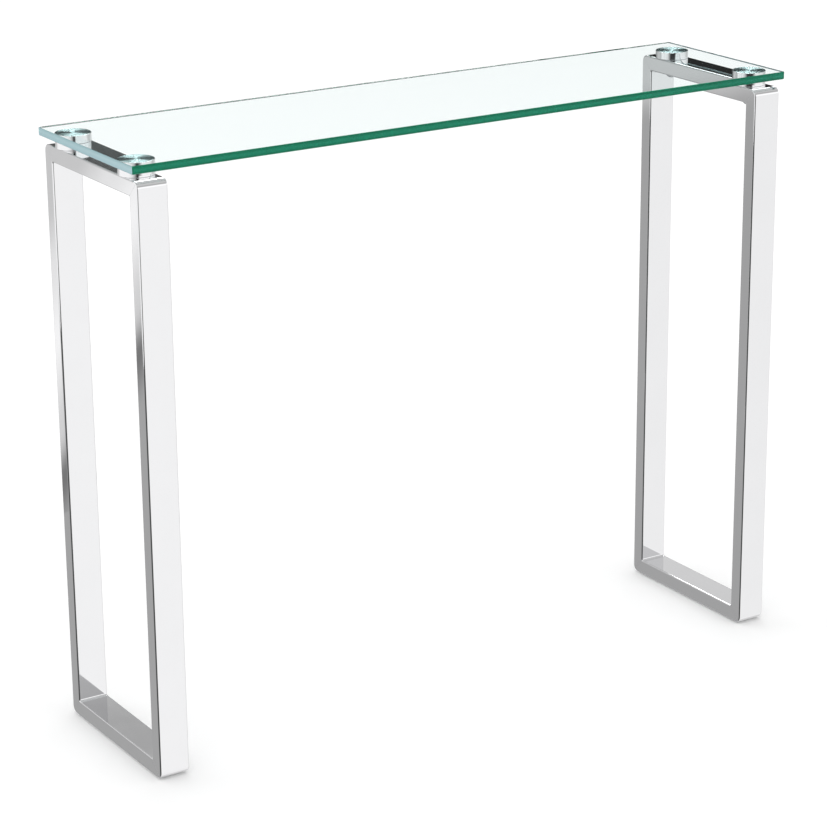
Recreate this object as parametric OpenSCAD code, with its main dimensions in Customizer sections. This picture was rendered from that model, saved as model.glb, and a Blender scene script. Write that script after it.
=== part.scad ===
// Console table: a glass top on four turned standoffs, over two rectangular
// loops of polished tube. The origin is on the floor, under the middle of the
// table: +X runs along the table, +Y towards the wall and +Z up.

/* [Table] */
// Length of the glass top
table_l = 950; // [800:10:1400]
// Depth of the glass top
table_d = 250; // [200:5:450]
// Height from the floor to the upper face of the glass
table_h = 770; // [600:5:950]

/* [Glass] */
// Thickness of the glass
glass_t = 10; // [6:1:19]
// Radius of the four upright corners of the glass
glass_corner_r = 3; // [1:0.5:12]
// Width of the bevel ground on the rims of the glass
glass_bevel = 0.8; // [0.2:0.1:2]

/* [Leg tube] */
// Width of the tube, along the table
tube_w = 40; // [30:1:60]
// Height of the tube's section, in the plane of the loop
tube_t = 20; // [15:0.5:30]
// Wall thickness of the tube
tube_wall = 1.5; // [1:0.1:3]
// Radius of the tube's long edges
tube_edge_r = 2; // [0.5:0.1:4]
// Outer radius at the corners of the loop
loop_corner_r = 9; // [4:0.5:14]
// Distance from the end of the glass to the outer side of the loop
loop_inset_x = 6.5; // [0:0.5:60]
// Distance from the long side of the glass to the face of the loop
loop_inset_y = 0; // [0:0.5:40]

/* [Standoffs] */
// Diameter of a standoff
standoff_d = 44; // [30:1:60]
// Height of a standoff
standoff_h = 10; // [8:0.5:30]
// Bevel on the rims of a standoff
standoff_bevel = 0.5; // [0.1:0.1:1]
// Distance from the end of the rail to the middle of a standoff
standoff_end = 42; // [32:1:70]
// Thickness of the adhesive film between a standoff and the glass
bond_t = 0.2; // [0.1:0.05:0.5]
// Width of the bare ring that the adhesive film leaves round its rim
bond_margin = 1; // [0.5:0.5:4]

/* [Fasteners] */
// Thread diameter of the bolts
bolt_d = 8; // [5:0.5:10]
// Length of thread screwed into a standoff
thread_engage = 6.4; // [4:0.2:7]
// Drilled depth left past the tip of a bolt
thread_spare = 1; // [0.2:0.1:1]
// Diameter of a bolt's button head
head_d = 14; // [12:0.5:18]
// Height of a bolt's button head
head_h = 4.4; // [3:0.1:6]
// Width across flats of the hex socket
socket_af = 5; // [3:0.5:6]
// Depth of the hex socket
socket_depth = 2.6; // [1.5:0.1:2.8]
// Outer diameter of a flat washer
washer_d = 18; // [16:0.5:26]
// Thickness of a flat washer
washer_t = 1.6; // [1:0.1:2.5]
// Outer diameter of a spring washer
spring_d = 14.8; // [13:0.2:15.8]
// Thickness of a spring washer
spring_t = 2; // [1:0.1:3]
// Width of the split in a spring washer
spring_gap = 1.2; // [0.6:0.1:2]
// Outer diameter of the sleeve round a bolt inside the rail
sleeve_d = 14; // [12:0.5:20]
// Radial room between a bolt and the holes that it passes through
bolt_clear = 0.3; // [0.1:0.05:0.6]
// Radial room between a bolt's thread and the tapped hole
thread_clear = 0.05; // [0.02:0.01:0.2]

/* [Floor pads] */
// Diameter of a floor pad
pad_d = 24; // [16:1:29]
// Thickness of a floor pad
pad_t = 2; // [1:0.5:5]
// Distance from the end of the foot rail to the middle of a pad
pad_end = 30; // [22:1:60]

/* [Hidden] */

$fn = 64;
LEFT = -1;
RIGHT = 1;
FRONT = -1;
BACK = 1;
// Extra length that makes a cut pass clean through what it cuts
over = 1;

glass_z = table_h - glass_t;
loop_top = glass_z - bond_t - standoff_h;
loop_h = loop_top - pad_t;
loop_d = table_d - 2 * loop_inset_y;
loop_x = table_l / 2 - loop_inset_x - tube_w / 2;
loop_z = pad_t + loop_h / 2;
standoff_y = loop_d / 2 - standoff_end;
pad_y = loop_d / 2 - pad_end;
bolt_hole_d = bolt_d + 2 * bolt_clear;
shank_l = spring_t + washer_t + tube_t + thread_engage;

// Puts a piece at one of the four standoffs, with z measured from the top of the rail
module at_standoff(side, end)
    translate([side * loop_x, end * standoff_y, loop_top]) children();

// ---- Glass ----

module corner_cut_rectangle(w, h, cut)
    polygon([[-w / 2 + cut, -h / 2], [w / 2 - cut, -h / 2],
        [w / 2, -h / 2 + cut], [w / 2, h / 2 - cut],
        [w / 2 - cut, h / 2], [-w / 2 + cut, h / 2],
        [-w / 2, h / 2 - cut], [-w / 2, -h / 2 + cut]]);

module rounded_rectangle(w, h, r) {
    square([w - 2 * r, h], center = true);
    square([w, h - 2 * r], center = true);
    for (sx = [-1, 1], sy = [-1, 1])
        translate([sx * (w / 2 - r), sy * (h / 2 - r)]) circle(r);
}

// The pane is a rounded plate whose long and short rims are bevelled
module glass_top()
    color([0.75, 0.92, 0.86, 0.45])
    translate([0, 0, glass_z + glass_t / 2])
    intersection() {
        linear_extrude(glass_t + 2 * over, center = true)
            rounded_rectangle(table_l, table_d, glass_corner_r);
        rotate([90, 0, 90])
            linear_extrude(table_l + 2 * over, center = true)
            corner_cut_rectangle(table_d, glass_t, glass_bevel);
        rotate([90, 0, 0])
            linear_extrude(table_d + 2 * over, center = true)
            corner_cut_rectangle(table_l, glass_t, glass_bevel);
    }

// ---- Leg loops ----

// Section of the tube, drawn in by inset: its width on the first axis and its outer
// face on the positive side of the second
module tube_section(inset)
    rounded_rectangle(tube_w - 2 * inset, tube_t - 2 * inset, max(tube_edge_r - inset, 0.2));

// The outer part of the section, which is carried round a corner of the loop
module bent_section(inset)
    intersection() {
        translate([loop_corner_r - tube_t / 2, 0]) rotate(-90) tube_section(inset);
        translate([0, -tube_w]) square([loop_corner_r, 2 * tube_w]);
    }

// A straight tube with a half turn at each end, all drawn in by inset
module loop_side_solid(length, inset) {
    bend_x = length / 2 - loop_corner_r;
    bend_y = tube_t / 2 - loop_corner_r;
    intersection() {
        rotate([90, 0, 90]) linear_extrude(length, center = true) tube_section(inset);
        rotate([90, 0, 0]) linear_extrude(tube_w + 2 * over, center = true)
            polygon([[-length / 2 - over, -tube_t], [length / 2 + over, -tube_t],
                [length / 2 + over, bend_y], [bend_x, bend_y], [bend_x, tube_t],
                [-bend_x, tube_t], [-bend_x, bend_y], [-length / 2 - over, bend_y]]);
    }
    for (end = [-1, 1])
        translate([end * bend_x, 0, bend_y]) rotate([90, 0, 0])
        rotate_extrude(angle = 180) bent_section(inset);
}

// One side of the loop, mitred at both ends, along the first axis with its outer
// face at the top. Half of each bend belongs to it, up to the mitre.
module loop_side(length) {
    foot = length / 2 - tube_t - over;
    peak = length / 2 + over;
    intersection() {
        difference() {
            loop_side_solid(length, 0);
            loop_side_solid(length, tube_wall);
        }
        rotate([90, 0, 0]) linear_extrude(tube_w + 4 * over, center = true)
            polygon([[-foot, -tube_t / 2 - over], [foot, -tube_t / 2 - over],
                [peak, tube_t / 2 + over], [-peak, tube_t / 2 + over]]);
    }
}

// Turns a side of the loop to face up (0), down (180), the front (90) or the back (-90)
module placed_side(side, turn, length, reach)
    color("silver")
    translate([side * loop_x, 0, loop_z]) rotate([turn, 0, 0])
    translate([0, 0, reach - tube_t / 2]) rotate([0, 0, 90])
    loop_side(length);

module top_rail(side)
    difference() {
        placed_side(side, 0, loop_d, loop_h / 2);
        for (end = [FRONT, BACK])
            at_standoff(side, end)
            translate([0, 0, -tube_t - over])
            cylinder(d = bolt_hole_d, h = tube_t + 2 * over);
    }

module foot_rail(side) placed_side(side, 180, loop_d, loop_h / 2);

module post(side, end) placed_side(side, -90 * end, loop_h, loop_d / 2);

// ---- Standoffs and adhesive ----

module bevelled_disc(d, h, bevel)
    rotate_extrude()
    polygon([[0, 0], [d / 2 - bevel, 0], [d / 2, bevel],
        [d / 2, h - bevel], [d / 2 - bevel, h], [0, h]]);

module standoff(side, end)
    color("gainsboro")
    at_standoff(side, end)
    difference() {
        bevelled_disc(standoff_d, standoff_h, standoff_bevel);
        translate([0, 0, -over])
            cylinder(d = bolt_d + 2 * thread_clear, h = thread_engage + thread_spare + over);
    }

module bond(side, end)
    color("azure")
    at_standoff(side, end)
    translate([0, 0, standoff_h])
    cylinder(d = standoff_d - 2 * bond_margin, h = bond_t);

// ---- Bolt, washers and sleeve ----

// Low domed head, with its flat face at z = 0 and its dome below
module button_head() {
    rim_h = head_h / 5;
    dome_h = head_h - rim_h;
    dome_r = ((head_d / 2) ^ 2 + dome_h ^ 2) / (2 * dome_h);
    difference() {
        intersection() {
            translate([0, 0, -head_h]) cylinder(d = head_d, h = head_h);
            translate([0, 0, dome_r - head_h]) sphere(dome_r);
        }
        translate([0, 0, -head_h - over])
            cylinder(d = socket_af / cos(30), h = socket_depth + over, $fn = 6);
    }
}

module bolt(side, end)
    color("lightgray")
    at_standoff(side, end)
    translate([0, 0, -tube_t - washer_t - spring_t]) {
        button_head();
        cylinder(d = bolt_d, h = shank_l);
    }

module ring(d, bore, h)
    difference() {
        cylinder(d = d, h = h);
        translate([0, 0, -over]) cylinder(d = bore, h = h + 2 * over);
    }

// A closed-up spring washer is a flat ring with one slanted split
module spring_washer(side, end)
    color("darkgray")
    at_standoff(side, end)
    translate([0, 0, -tube_t - washer_t - spring_t])
    difference() {
        ring(spring_d, bolt_hole_d, spring_t);
        translate([0, 0, spring_t / 2]) rotate([25, 0, 0])
            translate([0, -spring_gap / 2, -spring_t])
            cube([spring_d, spring_gap, 2 * spring_t]);
    }

module washer(side, end)
    color("silver")
    at_standoff(side, end)
    translate([0, 0, -tube_t - washer_t])
    ring(washer_d, bolt_hole_d, washer_t);

// Keeps the walls of the rail from being squeezed together by the bolt
module sleeve(side, end)
    color("gray")
    at_standoff(side, end)
    translate([0, 0, tube_wall - tube_t])
    ring(sleeve_d, bolt_hole_d, tube_t - 2 * tube_wall);

// ---- Floor pads ----

module pad(side, end)
    color("dimgray")
    translate([side * loop_x, end * pad_y, 0])
    cylinder(d = pad_d, h = pad_t);

glass_top();
top_rail(LEFT);  // left_top_rail
foot_rail(LEFT);  // left_foot_rail
post(LEFT, FRONT);  // left_front_post
post(LEFT, BACK);  // left_back_post
top_rail(RIGHT);  // right_top_rail
foot_rail(RIGHT);  // right_foot_rail
post(RIGHT, FRONT);  // right_front_post
post(RIGHT, BACK);  // right_back_post
standoff(LEFT, FRONT);  // left_front_standoff
standoff(LEFT, BACK);  // left_back_standoff
standoff(RIGHT, FRONT);  // right_front_standoff
standoff(RIGHT, BACK);  // right_back_standoff
bond(LEFT, FRONT);  // left_front_bond
bond(LEFT, BACK);  // left_back_bond
bond(RIGHT, FRONT);  // right_front_bond
bond(RIGHT, BACK);  // right_back_bond
bolt(LEFT, FRONT);  // left_front_bolt
bolt(LEFT, BACK);  // left_back_bolt
bolt(RIGHT, FRONT);  // right_front_bolt
bolt(RIGHT, BACK);  // right_back_bolt
spring_washer(LEFT, FRONT);  // left_front_spring_washer
spring_washer(LEFT, BACK);  // left_back_spring_washer
spring_washer(RIGHT, FRONT);  // right_front_spring_washer
spring_washer(RIGHT, BACK);  // right_back_spring_washer
washer(LEFT, FRONT);  // left_front_washer
washer(LEFT, BACK);  // left_back_washer
washer(RIGHT, FRONT);  // right_front_washer
washer(RIGHT, BACK);  // right_back_washer
sleeve(LEFT, FRONT);  // left_front_sleeve
sleeve(LEFT, BACK);  // left_back_sleeve
sleeve(RIGHT, FRONT);  // right_front_sleeve
sleeve(RIGHT, BACK);  // right_back_sleeve
pad(LEFT, FRONT);  // left_front_pad
pad(LEFT, BACK);  // left_back_pad
pad(RIGHT, FRONT);  // right_front_pad
pad(RIGHT, BACK);  // right_back_pad
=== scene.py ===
"""Looks of the console table: polished tube loops, turned standoffs and a clear glass top.

The CAD model gives every place and size. Each CAD node is replaced by a finer closed mesh
with its own material, and the scene adds a pale floor, a studio to reflect and a camera.
Lengths are in metres, in the frame of the CAD model.
"""

import math

import bpy
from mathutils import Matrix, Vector


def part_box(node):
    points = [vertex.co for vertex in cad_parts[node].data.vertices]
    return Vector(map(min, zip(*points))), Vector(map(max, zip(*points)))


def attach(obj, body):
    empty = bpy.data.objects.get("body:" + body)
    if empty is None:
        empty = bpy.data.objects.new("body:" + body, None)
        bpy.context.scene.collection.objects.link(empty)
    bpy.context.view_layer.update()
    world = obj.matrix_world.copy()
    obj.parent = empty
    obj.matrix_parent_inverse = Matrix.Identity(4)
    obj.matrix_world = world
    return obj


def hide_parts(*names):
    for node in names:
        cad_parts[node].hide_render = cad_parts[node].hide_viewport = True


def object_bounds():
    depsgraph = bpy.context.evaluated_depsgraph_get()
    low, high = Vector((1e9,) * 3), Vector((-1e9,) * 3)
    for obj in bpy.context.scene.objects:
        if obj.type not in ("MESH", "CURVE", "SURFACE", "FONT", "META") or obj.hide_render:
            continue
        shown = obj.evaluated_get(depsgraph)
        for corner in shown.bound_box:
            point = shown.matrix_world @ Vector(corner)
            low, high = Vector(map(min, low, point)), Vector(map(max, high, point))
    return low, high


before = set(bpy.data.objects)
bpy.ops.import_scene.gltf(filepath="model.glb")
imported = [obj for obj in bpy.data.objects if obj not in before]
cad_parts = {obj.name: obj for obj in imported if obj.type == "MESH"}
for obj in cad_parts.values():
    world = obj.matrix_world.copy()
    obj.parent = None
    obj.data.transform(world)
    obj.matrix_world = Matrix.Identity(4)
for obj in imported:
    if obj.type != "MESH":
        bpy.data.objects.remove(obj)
CAD_BOX = [list(corner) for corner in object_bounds()]
CENTRE = (Vector(CAD_BOX[0]) + Vector(CAD_BOX[1])) / 2

SIDES = ("left", "right")
ENDS = ("front", "back")
CORNERS = [(side, end) for side in SIDES for end in ENDS]
UP = Vector((0, 0, 1))
RIGHT = Vector((1, 0, 0))
BACK = Vector((0, 1, 0))
MM = 0.001
TURN = 2 * math.pi


def size_of(name):
    """Width, depth and height of a CAD node's box."""
    low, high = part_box(name)
    return high - low


def foot_of(name):
    """Middle of the lowest face of a CAD node's box."""
    low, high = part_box(name)
    return Vector(((low.x + high.x) / 2, (low.y + high.y) / 2, low.z))


# ---- Meshes ----


class Surface:
    """Points and faces of one mesh, with smooth or given normals at the face corners."""

    def __init__(self):
        self.points = []
        self.faces = []

    def point(self, place):
        self.points.append(Vector(place))
        return len(self.points) - 1

    def face(self, corners, kind=0, group=0, normals=None, toward=None):
        """Adds a face, turned over if it faces away from toward or from its normals.

        kind is its material. Without normals, it is smoothed with its group's faces.
        """
        corners = list(corners)
        spots = [self.points[c] for c in corners]
        area = Vector((0, 0, 0))
        for here, there in zip(spots, spots[1:] + spots[:1]):
            area += (here - spots[0]).cross(there - spots[0]) / 2
        lead = sum(normals, Vector((0, 0, 0))) if normals else toward
        if lead is not None and area.dot(lead) < 0:
            corners.reverse()
            area.negate()
            normals = normals and normals[::-1]
        self.faces.append((corners, kind, group, normals, area))

    def corner_normals(self):
        """A normal for each corner of each face. Large faces count for more, so they stay flat."""
        shared = {}
        for corners, _, group, normals, area in self.faces:
            for c in corners if normals is None else ():
                shared.setdefault((group, c), Vector((0, 0, 0)))
                shared[group, c] += area * area.length * 1e12
        return [
            (normals[i] if normals else shared[group, c]).normalized()
            for corners, _, group, normals, _ in self.faces
            for i, c in enumerate(corners)
        ]


def make_piece(name, surface, materials, replaced):
    """Makes the object of a surface, which stands for one CAD node."""
    mesh = bpy.data.meshes.new(name)
    mesh.from_pydata(surface.points, [], [face[0] for face in surface.faces])
    for material in materials:
        mesh.materials.append(material)
    mesh.polygons.foreach_set("material_index", [face[1] for face in surface.faces])
    mesh.polygons.foreach_set("use_smooth", [True] * len(surface.faces))
    mesh.normals_split_custom_set(surface.corner_normals())
    piece = bpy.data.objects.new(name, mesh)
    bpy.context.scene.collection.objects.link(piece)
    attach(piece, "root")
    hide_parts(replaced)
    return piece


def value_at(value, angle):
    return value(angle) if callable(value) else value


def lathe(surface, foot, runs, segments):
    """Turns runs of (radius, height) points round an upright axis through foot.

    Each run is (kind, points), is smooth in itself, and starts where the one before ends.
    Runs go outwards along the bottom, up the outside and back in along the top. A radius or
    a height may be a function of the angle, and a radius of 0 is a point on the axis.
    """
    angles = [TURN * i / segments for i in range(segments)]

    def make_ring(radius, height):
        if radius == 0:
            return [surface.point(foot + UP * height)]
        ring = []
        for angle in angles:
            out = Vector((math.cos(angle), math.sin(angle), 0))
            ring.append(surface.point(foot + out * value_at(radius, angle) + UP * value_at(height, angle)))
        return ring

    first = runs[0][1][0]
    first_ring = last_ring = make_ring(*first)
    for group, (kind, points) in enumerate(runs):
        for spot in points[1:]:
            ring = first_ring if spot is first else make_ring(*spot)
            for i in range(segments):
                j = (i + 1) % segments
                if len(last_ring) == 1:
                    corners = (last_ring[0], ring[j], ring[i])
                elif len(ring) == 1:
                    corners = (last_ring[i], last_ring[j], ring[0])
                else:
                    corners = (last_ring[i], last_ring[j], ring[j], ring[i])
                surface.face(corners, kind, group)
            last_ring = ring


def arc(radius, height, size, start, stop, steps=4):
    """Points on a quarter round of the given size, from the start angle to the stop angle."""
    turns = [math.radians(start + (stop - start) * i / steps) for i in range(steps + 1)]
    return [(radius + size * math.cos(a), height + size * math.sin(a)) for a in turns]


# ---- Shader building ----


def new_material(name):
    """An empty node material with its output node."""
    material = bpy.data.materials.new(name)
    material.use_nodes = True
    tree = material.node_tree
    tree.nodes.clear()
    return material, tree, tree.nodes.new("ShaderNodeOutputMaterial")


def node(tree, kind, inputs=None, **settings):
    """Adds a node, and sets or links its inputs by name or number."""
    made = tree.nodes.new(kind)
    for key, value in settings.items():
        setattr(made, key, value)
    for key, value in (inputs or {}).items():
        if isinstance(value, bpy.types.NodeSocket):
            tree.links.new(value, made.inputs[key])
        else:
            made.inputs[key].default_value = value
    return made


def math_node(tree, operation, *values):
    return node(tree, "ShaderNodeMath", dict(enumerate(values)), operation=operation).outputs[0]


def between(tree, value, low, high, start=0.0, stop=1.0, **settings):
    """Maps a value from start...stop to low...high."""
    limits = {"From Min": start, "From Max": stop, "To Min": low, "To Max": high}
    return node(tree, "ShaderNodeMapRange", {"Value": value, **limits}, **settings).outputs[0]


def noise(tree, where, scale, detail=2.0):
    return node(tree, "ShaderNodeTexNoise", {"Vector": where, "Scale": scale, "Detail": detail}).outputs[0]


def stretched(tree, where, scales):
    """Coordinates scaled by a different number on each axis."""
    return node(tree, "ShaderNodeMapping", {"Vector": where, "Scale": scales}).outputs[0]


def bump(tree, height, distance, under=None):
    inputs = {"Height": height, "Distance": distance, "Strength": 1.0}
    if under is not None:
        inputs["Normal"] = under
    return node(tree, "ShaderNodeBump", inputs).outputs[0]


def ramp(tree, factor, stops, interpolation="EASE"):
    """A colour ramp; stops are (position, grey or colour) pairs."""
    made = node(tree, "ShaderNodeValToRGB", {"Fac": factor})
    made.color_ramp.interpolation = interpolation
    elements = made.color_ramp.elements
    while len(elements) < len(stops):
        elements.new(0.5)
    for element, (position, value) in zip(elements, stops):
        element.position = position
        element.color = (*value, 1) if isinstance(value, tuple) else (value, value, value, 1)
    return made.outputs["Color"]


def blended(tree, factor, first, second):
    """A colour mixed from two colours or colour sockets."""
    return node(tree, "ShaderNodeMix", {0: factor, 6: first, 7: second}, data_type="RGBA").outputs[2]


def tinted(tree, factor, dark, light):
    """A colour between dark and light."""
    return blended(tree, factor, (*dark, 1), (*light, 1))


def principled(tree, output, inputs):
    shader = node(tree, "ShaderNodeBsdfPrincipled", inputs)
    tree.links.new(shader.outputs[0], output.inputs["Surface"])
    return shader


def scaled(colour, by):
    return tuple(c * by for c in colour)


# ---- Materials ----

# Width of the line along each mitre, how much darker its colour is painted as shade, and how much rougher
# the dressed weld is
MITRE_WELD = 0.45 * MM
WELD_PAINTED_SHADE = 0.8
WELD_ROUGHNESS = 0.3


def mitre_line(tree, where):
    """One along each loop's mitres, where the weld is dressed and its line of shade is painted, and zero
    elsewhere.
    """
    loop_low, loop_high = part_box("left_foot_rail")[0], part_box("left_top_rail")[1]
    parts = node(tree, "ShaderNodeSeparateXYZ", {0: where})
    inwards = math_node(tree, "SUBTRACT", loop_high.y, math_node(tree, "ABSOLUTE", parts.outputs[1]))
    down = math_node(tree, "SUBTRACT", loop_high.z, parts.outputs[2])
    up = math_node(tree, "SUBTRACT", parts.outputs[2], loop_low.z)
    nearest = math_node(tree, "MINIMUM", down, up)
    off = math_node(tree, "ABSOLUTE", math_node(tree, "SUBTRACT", inwards, nearest))
    return between(tree, off, 1.0, 0.0, MITRE_WELD / 4, MITRE_WELD)


def polished_metal(name, colour, roughness, grain=(1, 1, 1), waviness=0.00012, welded=False):
    """Bright metal with cloudy roughness, slow waviness and hair-fine polishing lines.

    grain is how fast the polishing lines change on each axis, so the low axis runs along them.
    A welded piece is also rougher along its mitres, where the weld is dressed, and darker there as painted
    shade.
    """
    material, tree, output = new_material(name)
    where = node(tree, "ShaderNodeTexCoord").outputs["Object"]
    cloud = noise(tree, where, 22.0, 3.0)
    lines = noise(tree, stretched(tree, where, scaled(grain, 900.0)), 1.0, 2.0)
    patchy, lined = math_node(tree, "MULTIPLY", cloud, 0.7), math_node(tree, "MULTIPLY", lines, 0.3)
    handled = math_node(tree, "ADD", patchy, lined)
    waves = bump(tree, noise(tree, where, 14.0, 1.0), waviness)
    shade = tinted(tree, cloud, scaled(colour, 0.965), colour)
    rough = between(tree, handled, roughness * 0.5, roughness * 1.6, 0.25, 0.75)
    if welded:
        weld = mitre_line(tree, where)
        # Painted shade: a darker colour along the mitre lines; the added roughness is the dressed weld
        shade = blended(tree, weld, shade, (*scaled(colour, WELD_PAINTED_SHADE), 1))
        rough = math_node(tree, "ADD", rough, math_node(tree, "MULTIPLY", weld, WELD_ROUGHNESS))
    principled(tree, output, {
        "Base Color": shade,
        "Metallic": 1.0,
        "Roughness": rough,
        "Normal": bump(tree, lines, 0.0000006, waves),
    })
    return material


def turned_face(name, colour, roughness):
    """Metal faced on a lathe: fine rings round the middle, which draw the light out into a bow."""
    material, tree, output = new_material(name)
    spot = node(tree, "ShaderNodeTexCoord").outputs["Generated"]
    off = node(tree, "ShaderNodeVectorMath", {0: spot, 1: (0.5, 0.5, 0.0)}, operation="SUBTRACT").outputs[0]
    level = node(tree, "ShaderNodeVectorMath", {0: off, 1: (1.0, 1.0, 0.0)}, operation="MULTIPLY").outputs[0]
    radius = node(tree, "ShaderNodeVectorMath", {0: level}, operation="LENGTH").outputs["Value"]
    across = math_node(tree, "MULTIPLY", radius, 260.0)
    rings = node(tree, "ShaderNodeTexNoise", {"W": across, "Detail": 2.0}, noise_dimensions="1D").outputs[0]
    tangent = node(tree, "ShaderNodeTangent", direction_type="RADIAL", axis="Z").outputs[0]
    principled(tree, output, {
        "Base Color": tinted(tree, rings, scaled(colour, 0.82), colour),
        "Metallic": 1.0,
        "Roughness": between(tree, rings, roughness * 0.8, roughness * 1.2, 0.3, 0.7),
        "Anisotropic": 1.0,
        "Anisotropic Rotation": 0.25,
        "Tangent": tangent,
        "Normal": bump(tree, rings, 0.000002),
    })
    return material


def plated_steel(name, colour, roughness):
    """Dull plated steel with a fine, even grain and darker stains."""
    material, tree, output = new_material(name)
    where = node(tree, "ShaderNodeTexCoord").outputs["Object"]
    stain = noise(tree, where, 160.0, 4.0)
    grain = noise(tree, where, 2400.0, 2.0)
    principled(tree, output, {
        "Base Color": tinted(tree, stain, scaled(colour, 0.75), colour),
        "Metallic": 1.0,
        "Roughness": between(tree, stain, roughness * 0.7, roughness * 1.3, 0.3, 0.7),
        "Normal": bump(tree, grain, 0.000004),
    })
    return material


def pad_plastic(name):
    """Dark grey moulded plastic with a spark-eroded texture."""
    material, tree, output = new_material(name)
    where = node(tree, "ShaderNodeTexCoord").outputs["Object"]
    patches = noise(tree, where, 120.0, 3.0)
    pits = noise(tree, where, 2600.0, 2.0)
    principled(tree, output, {
        "Base Color": tinted(tree, patches, (0.035, 0.036, 0.038), (0.06, 0.061, 0.064)),
        "Roughness": between(tree, patches, 0.5, 0.7, 0.3, 0.7),
        "Normal": bump(tree, pits, 0.00003),
    })
    return material


def adhesive_film(name):
    """A clear cured film, with faint cloudiness."""
    material, tree, output = new_material(name)
    where = node(tree, "ShaderNodeTexCoord").outputs["Object"]
    cloud = noise(tree, where, 300.0, 3.0)
    principled(tree, output, {
        "Base Color": tinted(tree, cloud, (0.30, 0.40, 0.40), (0.46, 0.55, 0.54)),
        "Roughness": between(tree, cloud, 0.15, 0.35, 0.3, 0.7),
        "IOR": 1.3,
        "Alpha": 0.02,
    })
    return material


GLASS_TINT = (0.0, 0.56, 0.52)
GLASS_DENSITY = 7.0
GLARE_POWER = 3.0


def glass_body(tree, output):
    """Takes light out of what passes through the glass, red more than green."""
    body = node(tree, "ShaderNodeVolumeAbsorption", {"Color": (*GLASS_TINT, 1), "Density": GLASS_DENSITY})
    tree.links.new(body.outputs[0], output.inputs["Volume"])


def clear_glass(name):
    """The fire-polished faces of the pane, with the slow waves of float glass.

    The mirrored share is the cube of real glass's, as if most of the glare were filtered out.
    Light that meets the face too flatly from inside is still fully held.
    """
    material, tree, output = new_material(name)
    where = node(tree, "ShaderNodeTexCoord").outputs["Object"]
    wipes = noise(tree, stretched(tree, where, (4.0, 18.0, 4.0)), 1.0, 4.0)
    shape = {"Roughness": between(tree, wipes, 0.0, 0.01, 0.5, 0.8),
             "Normal": bump(tree, noise(tree, where, 7.0, 1.0), 0.00001)}
    mirrored = node(tree, "ShaderNodeFresnel", {"IOR": 1.5, "Normal": shape["Normal"]}).outputs[0]
    share = math_node(tree, "POWER", mirrored, GLARE_POWER)
    through = node(tree, "ShaderNodeBsdfRefraction", {"Color": (1, 1, 1, 1), "IOR": 1.5, **shape})
    shine = node(tree, "ShaderNodeBsdfGlossy", {"Color": (1, 1, 1, 1), **shape})
    both = node(tree, "ShaderNodeMixShader", {0: share, 1: through.outputs[0], 2: shine.outputs[0]})
    tree.links.new(both.outputs[0], output.inputs["Surface"])
    glass_body(tree, output)
    return material


def glass_edge(name):
    """The ground and polished long edges, with the green of light through the depth of the glass behind them
    painted into their colour.
    """
    material, tree, output = new_material(name)
    where = node(tree, "ShaderNodeTexCoord").outputs["Object"]
    height = node(tree, "ShaderNodeSeparateXYZ", {0: where}).outputs[2]
    low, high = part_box("glass_top")
    level = between(tree, height, 0.0, 1.0, low.z, high.z)
    grinding = noise(tree, stretched(tree, where, (12.0, 12.0, 1400.0)), 1.0, 2.0)
    # Painted shade and light: darker bands just inside the top and bottom bevels, lighter on the bevels and
    # at mid-height
    dark, middle = (0.018, 0.285, 0.155), (0.040, 0.390, 0.235)
    green = ramp(tree, level, [(0.0, middle), (0.12, dark), (0.5, middle), (0.88, dark), (1.0, middle)])
    principled(tree, output, {
        "Base Color": green,
        "Roughness": between(tree, grinding, 0.02, 0.08, 0.3, 0.7),
        "IOR": 1.5,
        "Transmission Weight": 0.6,
        "Specular Tint": (0.1, 0.1, 0.1, 1),
    })
    glass_body(tree, output)
    return material


def glass_end(name):
    """The satin ends of the pane, left as ground, which let only some light through."""
    material, tree, output = new_material(name)
    where = node(tree, "ShaderNodeTexCoord").outputs["Object"]
    scratches = noise(tree, stretched(tree, where, (20.0, 60.0, 2200.0)), 1.0, 3.0)
    height = node(tree, "ShaderNodeSeparateXYZ", {0: where}).outputs[2]
    low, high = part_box("glass_top")
    level = between(tree, height, 0.0, 1.0, low.z, high.z)
    # Painted shade: the pale colour darkens towards the top and bottom, over the bevels
    pale = ramp(tree, level, [
        (0.0, (0.36, 0.60, 0.64)),
        (0.14, (0.49, 0.75, 0.82)),
        (0.6, (0.55, 0.81, 0.87)),
        (0.9, (0.47, 0.73, 0.78)),
        (1.0, (0.34, 0.57, 0.61)),
    ])
    principled(tree, output, {
        "Base Color": pale,
        "Roughness": between(tree, scratches, 0.1, 0.2, 0.3, 0.7),
        "IOR": 1.5,
        "Transmission Weight": 0.4,
        "Normal": bump(tree, scratches, 0.000004),
    })
    glass_body(tree, output)
    return material


CHROME = (0.86, 0.86, 0.87)
rail_chrome = polished_metal("polished_tube_rail", CHROME, 0.045, grain=(1.0, 0.02, 1.0), welded=True)
post_chrome = polished_metal("polished_tube_post", CHROME, 0.045, grain=(1.0, 1.0, 0.02), welded=True)
standoff_wall = polished_metal(
    "turned_standoff_wall", (0.88, 0.88, 0.89), 0.05, grain=(0.1, 0.1, 1.0), waviness=0.00003)
standoff_face = turned_face("turned_standoff_face", (0.55, 0.71, 0.72), 0.24)
bolt_steel = plated_steel("bolt_steel", (0.58, 0.59, 0.61), 0.3)
washer_steel = plated_steel("washer_steel", (0.66, 0.67, 0.68), 0.26)
spring_steel = plated_steel("spring_steel", (0.30, 0.30, 0.31), 0.35)
sleeve_steel = plated_steel("sleeve_steel", (0.45, 0.45, 0.46), 0.4)
pad_grey = pad_plastic("pad_plastic")
film = adhesive_film("clear_adhesive")
pane_faces = clear_glass("clear_glass")
pane_edges = glass_edge("glass_edge")
pane_ends = glass_end("glass_end")


# ---- Glass top ----

PANE_CORNER = 3 * MM
PANE_BEVEL = 0.8 * MM
PANE_ARC = 10


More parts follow.
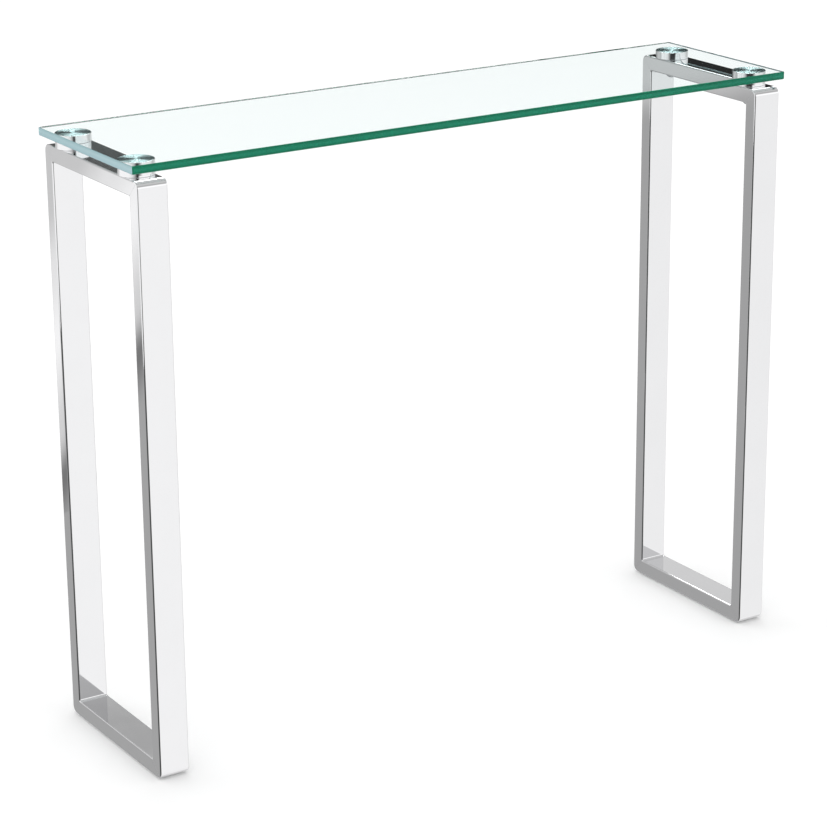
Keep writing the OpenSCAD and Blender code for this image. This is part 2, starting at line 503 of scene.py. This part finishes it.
def pane_outline(inset):
    """Points and outward normals round the pane, drawn in by inset."""
    low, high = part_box("glass_top")
    centre = (low + high) / 2
    reach = (high - low) / 2 - Vector((PANE_CORNER, PANE_CORNER, 0))
    outline = []
    for quarter, (sx, sy) in enumerate(((1, 1), (-1, 1), (-1, -1), (1, -1))):
        for i in range(PANE_ARC + 1):
            angle = math.radians(90 * (quarter + i / PANE_ARC))
            out = Vector((math.cos(angle), math.sin(angle), 0))
            middle = Vector((centre.x + sx * reach.x, centre.y + sy * reach.y, 0))
            outline.append((middle + out * (PANE_CORNER - inset), out))
    return outline


def make_glass():
    low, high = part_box("glass_top")
    surface = Surface()
    levels = [(low.z, PANE_BEVEL), (low.z + PANE_BEVEL, 0), (high.z - PANE_BEVEL, 0), (high.z, PANE_BEVEL)]
    tilts = (-1, 0, 1)
    outs = [out for _, out in pane_outline(0)]
    rings = [[surface.point(spot + UP * z) for spot, _ in pane_outline(inset)] for z, inset in levels]
    for tilt, ring, above in zip(tilts, rings, rings[1:]):
        for i, out in enumerate(outs):
            j = (i + 1) % len(outs)
            kind = 1 if abs(out.y) + abs(outs[j].y) > abs(out.x) + abs(outs[j].x) else 2
            here, there = (out + UP * tilt).normalized(), (outs[j] + UP * tilt).normalized()
            surface.face((ring[i], ring[j], above[j], above[i]), kind, normals=[here, there, there, here])
    surface.face(rings[0], normals=[-UP] * len(outs))
    surface.face(rings[-1], normals=[UP] * len(outs))
    make_piece("glass_pane", surface, (pane_faces, pane_edges, pane_ends), "glass_top")


# ---- Leg loops ----

TUBE_W = size_of("left_top_rail").x
TUBE_T = size_of("left_top_rail").z
TUBE_WALL = 1.5 * MM
TUBE_EDGE = 2 * MM
TUBE_ARC = 6
LOOP_CORNER = 9 * MM
LOOP_BEND_STEPS = 10
WELD_FILLET = 2.5 * MM
BOLT_HOLE = 8.6 * MM
HOLE_STEPS = 32
HOLE_PATCH = 12 * MM


def tube_outline(inset):
    """Points (across, depth under the outer face) and normals round the tube's section."""
    round_r = max(TUBE_EDGE - inset, 0.5 * MM)
    half = TUBE_W / 2 - inset - round_r
    near, far = inset + round_r, TUBE_T - inset - round_r
    outline = []
    for quarter, (side, depth) in enumerate(((-half, near), (half, near), (half, far), (-half, far))):
        for i in range(TUBE_ARC + 1):
            angle = math.radians(180 + 90 * (quarter + i / TUBE_ARC))
            way = (math.cos(angle), math.sin(angle))
            outline.append(((side + round_r * way[0], depth + round_r * way[1]), way))
    return outline


def bend_radius(depth):
    """Outer layers bend round the loop's corner. The inner corner has the fillet of a weld."""
    if depth < LOOP_CORNER:
        return LOOP_CORNER - depth
    return WELD_FILLET * (depth - LOOP_CORNER) / (TUBE_T - LOOP_CORNER)


def patch_with_hole(surface, corners, circle, toward):
    """Fills between four corners and a circle of points, which starts towards the first side."""
    per_side = len(circle) // 4
    for quarter, corner in enumerate(corners):
        for i in range(quarter * per_side, (quarter + 1) * per_side):
            surface.face((corner, circle[i], circle[(i + 1) % len(circle)]), normals=[toward] * 3)
        meeting = circle[(quarter + 1) * per_side % len(circle)]
        surface.face((corner, corners[(quarter + 1) % 4], meeting), normals=[toward] * 3)


def make_tube(name, middle, along, inward, length, holes, material):
    """One mitred side of a loop, as a hollow tube with bent ends.

    middle is the centre of its outer face, along and inward are its directions, and holes
    are the places along it where a bolt passes through both walls.
    """
    surface = Surface()
    bends = [math.radians(45) * i / LOOP_BEND_STEPS for i in range(LOOP_BEND_STEPS + 1)]
    flats = sorted(hole + reach for hole in holes for reach in (-HOLE_PATCH, HOLE_PATCH))
    stations = [(-1, turn, None) for turn in reversed(bends)]
    stations += [(0, 0.0, place) for place in flats]
    stations += [(1, turn, None) for turn in bends]

    def spot(side, depth, station):
        end, turn, place = station
        r = bend_radius(depth)
        if place is None:
            place = end * (length / 2 - depth - r + r * math.sin(turn))
        return middle + along * place + RIGHT * side + inward * (depth + r * (1 - math.cos(turn)))

    def facing(way, station):
        end, turn, _ = station
        return RIGHT * way[0] + along * (-way[1] * end * math.sin(turn)) + inward * (way[1] * math.cos(turn))

    def circle_at(place, depth):
        turns = [TURN * i / HOLE_STEPS for i in range(HOLE_STEPS)]
        return [
            surface.point(
                middle + inward * depth
                + along * (place + BOLT_HOLE / 2 * math.cos(a)) + RIGHT * (BOLT_HOLE / 2 * math.sin(a))
            )
            for a in turns
        ]

    skins, mouths = [], {}
    outer_flat, inner_flat = TUBE_ARC, 3 * TUBE_ARC + 2
    for inset, sign in ((0, 1), (TUBE_WALL, -1)):
        outline = tube_outline(inset)
        rows = [[surface.point(spot(*place, station)) for place, _ in outline] for station in stations]
        ways = [[facing(way, station) * sign for _, way in outline] for station in stations]
        for k in range(len(stations) - 1):
            start, stop = stations[k][2], stations[k + 1][2]
            straight = start is not None and stop is not None
            hole = next((h for h in holes if straight and start < h < stop), None)
            for i in range(len(outline)):
                j = (i + 1) % len(outline)
                corners = (rows[k][i], rows[k][j], rows[k + 1][j], rows[k + 1][i])
                if hole is not None and i in (outer_flat, inner_flat):
                    depth = outline[i][0][1]
                    circle = mouths[hole, i, inset] = circle_at(hole, depth)
                    # The circle starts along the tube, then turns to the positive side
                    plus, minus = (j, i) if i == outer_flat else (i, j)
                    square = (rows[k + 1][plus], rows[k][plus], rows[k][minus], rows[k + 1][minus])
                    patch_with_hole(surface, square, circle, ways[k][i])
                else:
                    surface.face(corners, normals=[ways[k][i], ways[k][j], ways[k + 1][j], ways[k + 1][i]])
        skins.append(rows)
    for k, end in ((0, -1), (-1, 1)):
        out = (along * end + inward).normalized()
        for i in range(len(skins[0][k])):
            j = (i + 1) % len(skins[0][k])
            corners = (skins[0][k][i], skins[0][k][j], skins[1][k][j], skins[1][k][i])
            surface.face(corners, normals=[out] * 4)
    for hole in holes:
        for flat in (outer_flat, inner_flat):
            outside, inside = mouths[hole, flat, 0], mouths[hole, flat, TUBE_WALL]
            for i in range(HOLE_STEPS):
                j = (i + 1) % HOLE_STEPS
                ways = [
                    -(along * math.cos(TURN * n / HOLE_STEPS) + RIGHT * math.sin(TURN * n / HOLE_STEPS))
                    for n in (i, i + 1)
                ]
                corners = (outside[i], outside[j], inside[j], inside[i])
                surface.face(corners, normals=[ways[0], ways[1], ways[1], ways[0]])
    make_piece(f"{name}_tube", surface, (material,), name)


def make_loops():
    for side in SIDES:
        top_low, top_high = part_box(f"{side}_top_rail")
        foot_low, foot_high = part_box(f"{side}_foot_rail")
        x = (top_low.x + top_high.x) / 2
        depth = top_high.y - top_low.y
        height = top_high.z - foot_low.z
        centre = Vector((x, 0, foot_low.z + height / 2))
        bolts = [foot_of(f"{side}_{end}_bolt").y for end in ENDS]
        make_tube(f"{side}_top_rail", centre + UP * height / 2, BACK, -UP, depth, bolts, rail_chrome)
        make_tube(f"{side}_foot_rail", centre - UP * height / 2, BACK, UP, depth, (), rail_chrome)
        make_tube(f"{side}_front_post", centre - BACK * depth / 2, UP, BACK, height, (), post_chrome)
        make_tube(f"{side}_back_post", centre + BACK * depth / 2, UP, -BACK, height, (), post_chrome)


# ---- Fasteners ----

THREAD_PITCH = 1.25 * MM
THREAD_DEPTH = 0.65 * MM
THREAD_ROWS = 6
THREAD_ROOM = 0.05 * MM


def thread(radius, start, stop, room=0.0):
    """Rows of a screw thread between two heights, which fades out at both of them."""
    count = max(2, round(abs(stop - start) / THREAD_PITCH * THREAD_ROWS))

    def row(height):
        fade = min(1.0, abs(height - start) / THREAD_PITCH, abs(height - stop) / THREAD_PITCH)

        def at(angle):
            phase = (height / THREAD_PITCH - angle / TURN) % 1.0
            return radius + room - THREAD_DEPTH * fade * abs(2 * phase - 1)

        return at

    heights = [start + (stop - start) * i / count for i in range(count + 1)]
    return [(row(height), height) for height in heights]


def hexagon(across_flats):
    return lambda angle: across_flats / 2 / math.cos(angle % (TURN / 6) - TURN / 12)


STANDOFF_BEVEL = 0.5 * MM
TAP_CHAMFER = 0.6 * MM


def make_standoff(side, end):
    name = f"{side}_{end}_standoff"
    size, foot = size_of(name), foot_of(name)
    bolt_low, bolt_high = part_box(f"{side}_{end}_bolt")
    r, h, b = size.x / 2, size.z, STANDOFF_BEVEL
    bore = BOLT_SHANK / 2
    deep = bolt_high.z - foot.z + MM
    tapped = thread(bore, deep - THREAD_PITCH, TAP_CHAMFER, THREAD_ROOM)
    lead = bore + THREAD_ROOM
    root = lead - THREAD_DEPTH
    surface = Surface()
    lathe(surface, foot, [
        (0, [(0, deep + MM), (root, deep), (root, deep - THREAD_PITCH), tapped[0]]),
        (0, tapped),
        (0, [tapped[-1], (lead, TAP_CHAMFER), (lead + TAP_CHAMFER, 0)]),
        (0, [(lead + TAP_CHAMFER, 0), (r - b, 0)]),
        (0, [(r - b, 0)] + arc(r - b, b, b, -90, 0)[1:] + arc(r - b, h - b, b, 0, 90)),
        (1, [(r - b, h), (r * 0.9, h), (r * 0.5, h), (0, h)]),
    ], 96)
    make_piece(f"{name}_disc", surface, (standoff_wall, standoff_face), name)


FILM_GAP = 0.01 * MM


def make_bond(side, end):
    """A film a hair thinner than its gap, so that its faces don't coincide with its neighbours."""
    name = f"{side}_{end}_bond"
    size, foot = size_of(name), foot_of(name) + UP * FILM_GAP
    h = size.z - 2 * FILM_GAP
    r = size.x / 2
    surface = Surface()
    lathe(surface, foot, [
        (0, [(0, 0), (r - h, 0)]),
        (0, [(r - h, 0)] + arc(r - h, h / 2, h / 2, -90, 90, 6)[1:]),
        (0, [(r - h, h), (0, h)]),
    ], 96)
    make_piece(f"{name}_film", surface, (film,), name)


BOLT_SHANK = 8 * MM
HEAD_D = size_of("left_front_bolt").x
HEAD_H = 4.4 * MM
HEAD_RIM = HEAD_H / 5
SOCKET_FLATS = 5 * MM
SOCKET_DEPTH = 2.6 * MM
BOLT_SEGMENTS = 48


def make_bolt(side, end):
    """A button head screw with a hex socket, head down."""
    name = f"{side}_{end}_bolt"
    size, foot = size_of(name), foot_of(name)
    r, shank = HEAD_D / 2, BOLT_SHANK / 2
    dome_h = HEAD_H - HEAD_RIM
    dome_r = (r ** 2 + dome_h ** 2) / (2 * dome_h)
    socket = hexagon(SOCKET_FLATS)

    def dome(radius):
        return dome_r - math.sqrt(dome_r ** 2 - radius ** 2)

    def socket_rim(angle):
        return dome(socket(angle))

    land = SOCKET_FLATS * 0.66
    domed = [(land + (r - land) * i / 10, dome(land + (r - land) * i / 10)) for i in range(11)]
    rim_top = [(r, HEAD_H - 0.3 * MM), (r - 0.3 * MM, HEAD_H)]
    neck = HEAD_H + 2 * MM
    screw = thread(shank, neck, size.z - 0.8 * MM)
    surface = Surface()
    lathe(surface, foot, [
        (0, [(0, SOCKET_DEPTH + MM), (socket, SOCKET_DEPTH)]),
        (0, [(socket, SOCKET_DEPTH), (socket, socket_rim)]),
        (0, [(socket, socket_rim)] + domed),
        (0, [domed[-1]] + rim_top),
        (0, [rim_top[-1], (shank + 0.3 * MM, HEAD_H), (shank, HEAD_H + 0.4 * MM), screw[0]]),
        (0, screw),
        (0, [screw[-1], (shank - THREAD_DEPTH, size.z - 0.1 * MM), (shank - 0.9 * MM, size.z)]),
        (0, [(shank - 0.9 * MM, size.z), (0, size.z)]),
    ], BOLT_SEGMENTS)
    make_piece(f"{name}_screw", surface, (bolt_steel,), name)


def ring_runs(outer, inner, height, chamfer):
    """A flat ring with chamfered rims, as runs for the lathe."""
    start = (inner + chamfer, 0)
    spots = [
        start, (outer - chamfer, 0), (outer, chamfer), (outer, height - chamfer),
        (outer - chamfer, height), (inner + chamfer, height), (inner, height - chamfer), (inner, chamfer),
        start,
    ]
    return [(0, [here, there]) for here, there in zip(spots, spots[1:])]


def make_washer(side, end):
    name = f"{side}_{end}_washer"
    size = size_of(name)
    surface = Surface()
    lathe(surface, foot_of(name), ring_runs(size.x / 2, BOLT_HOLE / 2, size.z, 0.15 * MM), 64)
    make_piece(f"{name}_ring", surface, (washer_steel,), name)


def make_sleeve(side, end):
    name = f"{side}_{end}_sleeve"
    size = size_of(name)
    surface = Surface()
    lathe(surface, foot_of(name), ring_runs(size.x / 2, BOLT_HOLE / 2, size.z, 0.4 * MM), 48)
    make_piece(f"{name}_tube", surface, (sleeve_steel,), name)


SPLIT = 1.2 * MM
SPLIT_SLANT = math.radians(25)
SPRING_STEPS = 60


def make_spring_washer(side, end):
    """A ring of square wire, split by a slanted cut."""
    name = f"{side}_{end}_spring_washer"
    size, foot = size_of(name), foot_of(name)
    outer, inner, h, c = size.y / 2, BOLT_HOLE / 2, size.z, 0.2 * MM
    section = [
        (inner + c, 0), (outer - c, 0), (outer, c), (outer, h - c),
        (outer - c, h), (inner + c, h), (inner, h - c), (inner, c),
    ]
    mean = (outer + inner) / 2
    surface = Surface()
    rows = []
    for step in range(SPRING_STEPS + 1):
        share = step / SPRING_STEPS
        row = []
        for radius, height in section:
            slant = (height - h / 2) * math.tan(SPLIT_SLANT) / mean
            half_gap = SPLIT / 2 / mean
            angle = half_gap + (TURN - 2 * half_gap) * share - slant
            out = Vector((math.cos(angle), math.sin(angle), 0))
            row.append(surface.point(foot + out * radius + UP * height))
        rows.append(row)
    for near, far in zip(rows, rows[1:]):
        for i in range(len(section)):
            j = (i + 1) % len(section)
            surface.face((near[i], near[j], far[j], far[i])[::-1], group=i)
    surface.face(rows[0], group=len(section), toward=-BACK)
    surface.face(rows[-1], group=len(section) + 1, toward=BACK)
    make_piece(f"{name}_coil", surface, (spring_steel,), name)


def make_pad(side, end):
    """A moulded pad with ribbed underside and a rounded rim."""
    name = f"{side}_{end}_pad"
    size = size_of(name)
    r, h = size.x / 2, size.z
    rim, groove, slope = 0.5 * MM, 0.3 * MM, 0.25 * MM
    ribs = [(0, 0)]
    for i in range(3, 11, 2):
        start, stop = i * MM, (i + 1) * MM
        ribs += [(start, 0), (start + slope, groove), (stop - slope, groove), (stop, 0)]
    surface = Surface()
    under = [(0, [here, there]) for here, there in zip(ribs, ribs[1:])]
    lathe(surface, foot_of(name), under + [
        (0, [ribs[-1], (r - rim, 0)]),
        (0, [(r - rim, 0)] + arc(r - rim, rim, rim, -90, 0)[1:] + arc(r - rim, h - rim, rim, 0, 90)),
        (0, [(r - rim, h), (0, h)]),
    ], 64)
    make_piece(f"{name}_disc", surface, (pad_grey,), name)


make_glass()
make_loops()
for corner in CORNERS:
    make_standoff(*corner)
    make_bond(*corner)
    make_bolt(*corner)
    make_spring_washer(*corner)
    make_washer(*corner)
    make_sleeve(*corner)
    make_pad(*corner)


# ---- Stage ----

VIEW_AZIMUTH = math.radians(-32.1)
VIEW_ELEVATION = math.radians(18.4)
VIEW_ROLL = math.radians(-0.5)
VIEW_DISTANCE = 3.62
VIEW_AIM = CENTRE + Vector((-0.021, 0.002, -0.029))
LENS = 121.35


def make_camera():
    data = bpy.data.cameras.new("camera")
    data.lens = LENS
    data.sensor_width = 36
    data.clip_end = 100
    camera = bpy.data.objects.new("camera", data)
    bpy.context.scene.collection.objects.link(camera)
    back = Vector((
        math.sin(VIEW_AZIMUTH) * math.cos(VIEW_ELEVATION),
        -math.cos(VIEW_AZIMUTH) * math.cos(VIEW_ELEVATION),
        math.sin(VIEW_ELEVATION),
    ))
    camera.location = VIEW_AIM + back * VIEW_DISTANCE
    camera.rotation_euler = back.to_track_quat("Z", "Y").to_euler()
    camera.rotation_euler.rotate_axis("Z", VIEW_ROLL)
    bpy.context.scene.camera = camera


def stage_plane(name, corners, material):
    """A flat sheet that belongs to the studio and not to the table."""
    mesh = bpy.data.meshes.new(name)
    mesh.from_pydata(corners, [], [(0, 1, 2, 3)])
    mesh.materials.append(material)
    plane = bpy.data.objects.new(name, mesh)
    bpy.context.scene.collection.objects.link(plane)
    return plane


FLOOR_REACH = 40


def make_floor():
    material, tree, output = new_material("floor_paint")
    paint = node(tree, "ShaderNodeBsdfDiffuse", {"Color": (0.93, 0.93, 0.93, 1)})
    tree.links.new(paint.outputs[0], output.inputs["Surface"])
    r = FLOOR_REACH
    floor = stage_plane("floor", [(-r, -r, 0), (r, -r, 0), (r, r, 0), (-r, r, 0)], material)
    floor.visible_glossy = False


# A ramp holds greys up to 1, so it gets brightnesses divided by this, which the strength
# of the light gives back
FULL_GREY = 2.0
# Brightness of the cards: where lit, in the streak beside that, beyond the streak, and at
# the near end of the left card
CARD_LIGHT = 1.05
CARD_DIP = 0.2
CARD_SHADE = 0.42
CARD_DARK = 0.05
# How far behind the middle of the table the back cards stand, and how high the cards reach
CARD_AWAY = 0.8
CARD_TOP = 1.6


def dimmed(stops):
    return [(place, brightness / FULL_GREY) for place, brightness in stops]


def round_compass(stops):
    """Stops by compass angle, from -180 to 180 degrees, as stops of a ramp round the compass."""
    return dimmed([((angle + 180) / 360, brightness) for angle, brightness in stops])


def make_card(name, corners, shares, start, stop, stops):
    """A card that only polished surfaces see.

    The stops give its brightness where the place, weighed by shares, goes from start to stop.
    """
    material, tree, output = new_material(f"{name}_paint")
    where = node(tree, "ShaderNodeTexCoord").outputs["Object"]
    weighed = node(tree, "ShaderNodeVectorMath", {0: where, 1: shares}, operation="DOT_PRODUCT")
    along = between(tree, weighed.outputs["Value"], 0.0, 1.0, start, stop)
    lit = ramp(tree, along, dimmed(stops))
    glow = node(tree, "ShaderNodeEmission", {"Color": lit, "Strength": FULL_GREY})
    tree.links.new(glow.outputs[0], output.inputs["Surface"])
    card = stage_plane(name, corners, material)
    card.visible_camera = False
    card.visible_diffuse = False
    card.visible_transmission = False
    card.visible_shadow = False


def make_cards():
    """A card behind the left leg, one on its left, and a low one behind the rails."""

    def back_corners(left, right, foot, top):
        places = ((left, foot), (right, foot), (right, top), (left, top))
        return [(x, CARD_AWAY, z) for x, z in places]

    # Its brightness goes by x plus a share of z, so its lit edge leans
    lean = (1.0, 0.0, 0.775)
    edge, lit_end = -0.807, -0.4
    make_card("back_card", back_corners(-2.5, -0.6, 0, CARD_TOP), lean, edge, lit_end, [
        (0.0, CARD_SHADE),
        (0.18, CARD_DIP),
        (0.31, CARD_LIGHT * 0.7),
        (0.6, CARD_LIGHT),
        (0.8, CARD_LIGHT * 0.85),
        (1.0, CARD_LIGHT * 0.62),
    ])
    x, front, lit_from, foot = -1.1, -1.6, -0.2, 0.33
    corners = [(x, front, foot), (x, CARD_AWAY, foot), (x, CARD_AWAY, CARD_TOP), (x, front, CARD_TOP)]
    make_card("left_card", corners, BACK, front, lit_from, [(0.0, CARD_DARK), (1.0, CARD_LIGHT)])
    foot, lit_from, top = 0.475, 0.545, 0.75
    make_card("rail_card", back_corners(-0.55, 0.2, foot, top), UP, foot, lit_from,
              [(0.0, CARD_SHADE), (1.0, CARD_LIGHT * 0.66)])


# Brightness of the studio round the table, as a compass angle in degrees (0 is the
# front, 90 the right) and a brightness: near the floor, and just above the horizon
LOW_STUDIO = [
    (-180, 0.42), (-165, 0.42), (-150, 0.42), (-130, 0.40), (-100, 0.2), (-60, 0.05), (-18, 0.05),
    (16, 1.03), (27, 1.04), (38, 0.99), (60, 1.0), (92, 0.68), (125, 0.85), (150, 0.6), (180, 0.42),
]
HIGH_STUDIO = [
    (-180, 0.06), (-150, 0.3), (-112, 1.2), (-60, 1.2), (-50, 0.04), (-18, 0.04), (-6, 1.2),
    (60, 1.2), (110, 0.9), (136, 0.02), (148, 0.03), (158, 0.12), (180, 0.06),
]
# Sines of the angles above the horizon between which the walls give way to the ceiling
CEILING_FROM = math.sin(math.radians(16))
CEILING_FULL = math.sin(math.radians(21))
# Brightness of the ceiling, by the sine of the angle above the horizon
CEILING = [(0.34, 0.75), (0.38, 0.70), (0.42, 0.42), (0.5, 0.5), (0.7, 0.65)]
# A lamp over the far side: the compass angle of its middle, how many degrees to each side
# it is full and ends, its brightness, and the shares of it at angles above the horizon
LAMP_MIDDLE, LAMP_FULL, LAMP_END = 147, 8, 22
LAMP_LIGHT = 7.0
LAMP_HEIGHTS = [(26, 0.0), (32, 1.0), (44, 1.0), (51, 0.0)]
# Sine of half the angle over which the low studio gives way to the high one
HORIZON = 0.03
# Brightness of the plain white light that the floor and what isn't mirrored get
FLOOR_LIGHT = 1.17


def make_studio():
    """White light from all round, and a studio with dark and bright sides for what is polished."""
    world = bpy.data.worlds.new("studio")
    bpy.context.scene.world = world
    world.use_nodes = True
    tree = world.node_tree
    tree.nodes.clear()
    way = node(tree, "ShaderNodeTexCoord").outputs["Generated"]
    parts = node(tree, "ShaderNodeSeparateXYZ", {0: way})
    x, y, z = (parts.outputs[i] for i in range(3))
    compass = math_node(tree, "ARCTAN2", x, math_node(tree, "MULTIPLY", y, -1.0))
    around = between(tree, compass, 0.0, 1.0, -math.pi, math.pi)
    low = ramp(tree, around, round_compass(LOW_STUDIO))
    high = ramp(tree, around, round_compass(HIGH_STUDIO))
    above = between(tree, z, 0.0, 1.0, -HORIZON, HORIZON, interpolation_type="SMOOTHSTEP")
    walls = blended(tree, above, low, high)
    up = between(tree, z, 0.0, 1.0, CEILING_FROM, CEILING_FULL, interpolation_type="SMOOTHSTEP")
    ceiling = ramp(tree, z, dimmed(CEILING))
    aside = math_node(tree, "ABSOLUTE", math_node(tree, "SUBTRACT", compass, math.radians(LAMP_MIDDLE)))
    beside = between(tree, aside, 1.0, 0.0, math.radians(LAMP_FULL), math.radians(LAMP_END))
    over = ramp(tree, z, [(math.sin(math.radians(angle)), share) for angle, share in LAMP_HEIGHTS])
    lamp = math_node(tree, "MULTIPLY", beside, over)
    lamp_light = (LAMP_LIGHT / FULL_GREY,) * 3
    overhead = blended(tree, lamp, ceiling, (*lamp_light, 1))
    all_round = blended(tree, up, walls, overhead)
    light = node(tree, "ShaderNodeLightPath")
    mirrored = math_node(tree, "MINIMUM", light.outputs["Glossy Depth"], 1.0)
    seen = node(tree, "ShaderNodeBackground", {"Color": (1, 1, 1, 1), "Strength": FLOOR_LIGHT})
    reflected = node(tree, "ShaderNodeBackground", {"Color": all_round, "Strength": FULL_GREY})
    both = node(tree, "ShaderNodeMixShader", {0: mirrored, 1: seen.outputs[0], 2: reflected.outputs[0]})
    node(tree, "ShaderNodeOutputWorld", {"Surface": both.outputs[0]})


make_camera()
make_floor()
make_cards()
make_studio()

scene = bpy.context.scene
scene.view_settings.view_transform = "Standard"
scene.cycles.max_bounces = 32
scene.cycles.transmission_bounces = 24
scene.cycles.glossy_bounces = 28
scene.cycles.transparent_max_bounces = 16
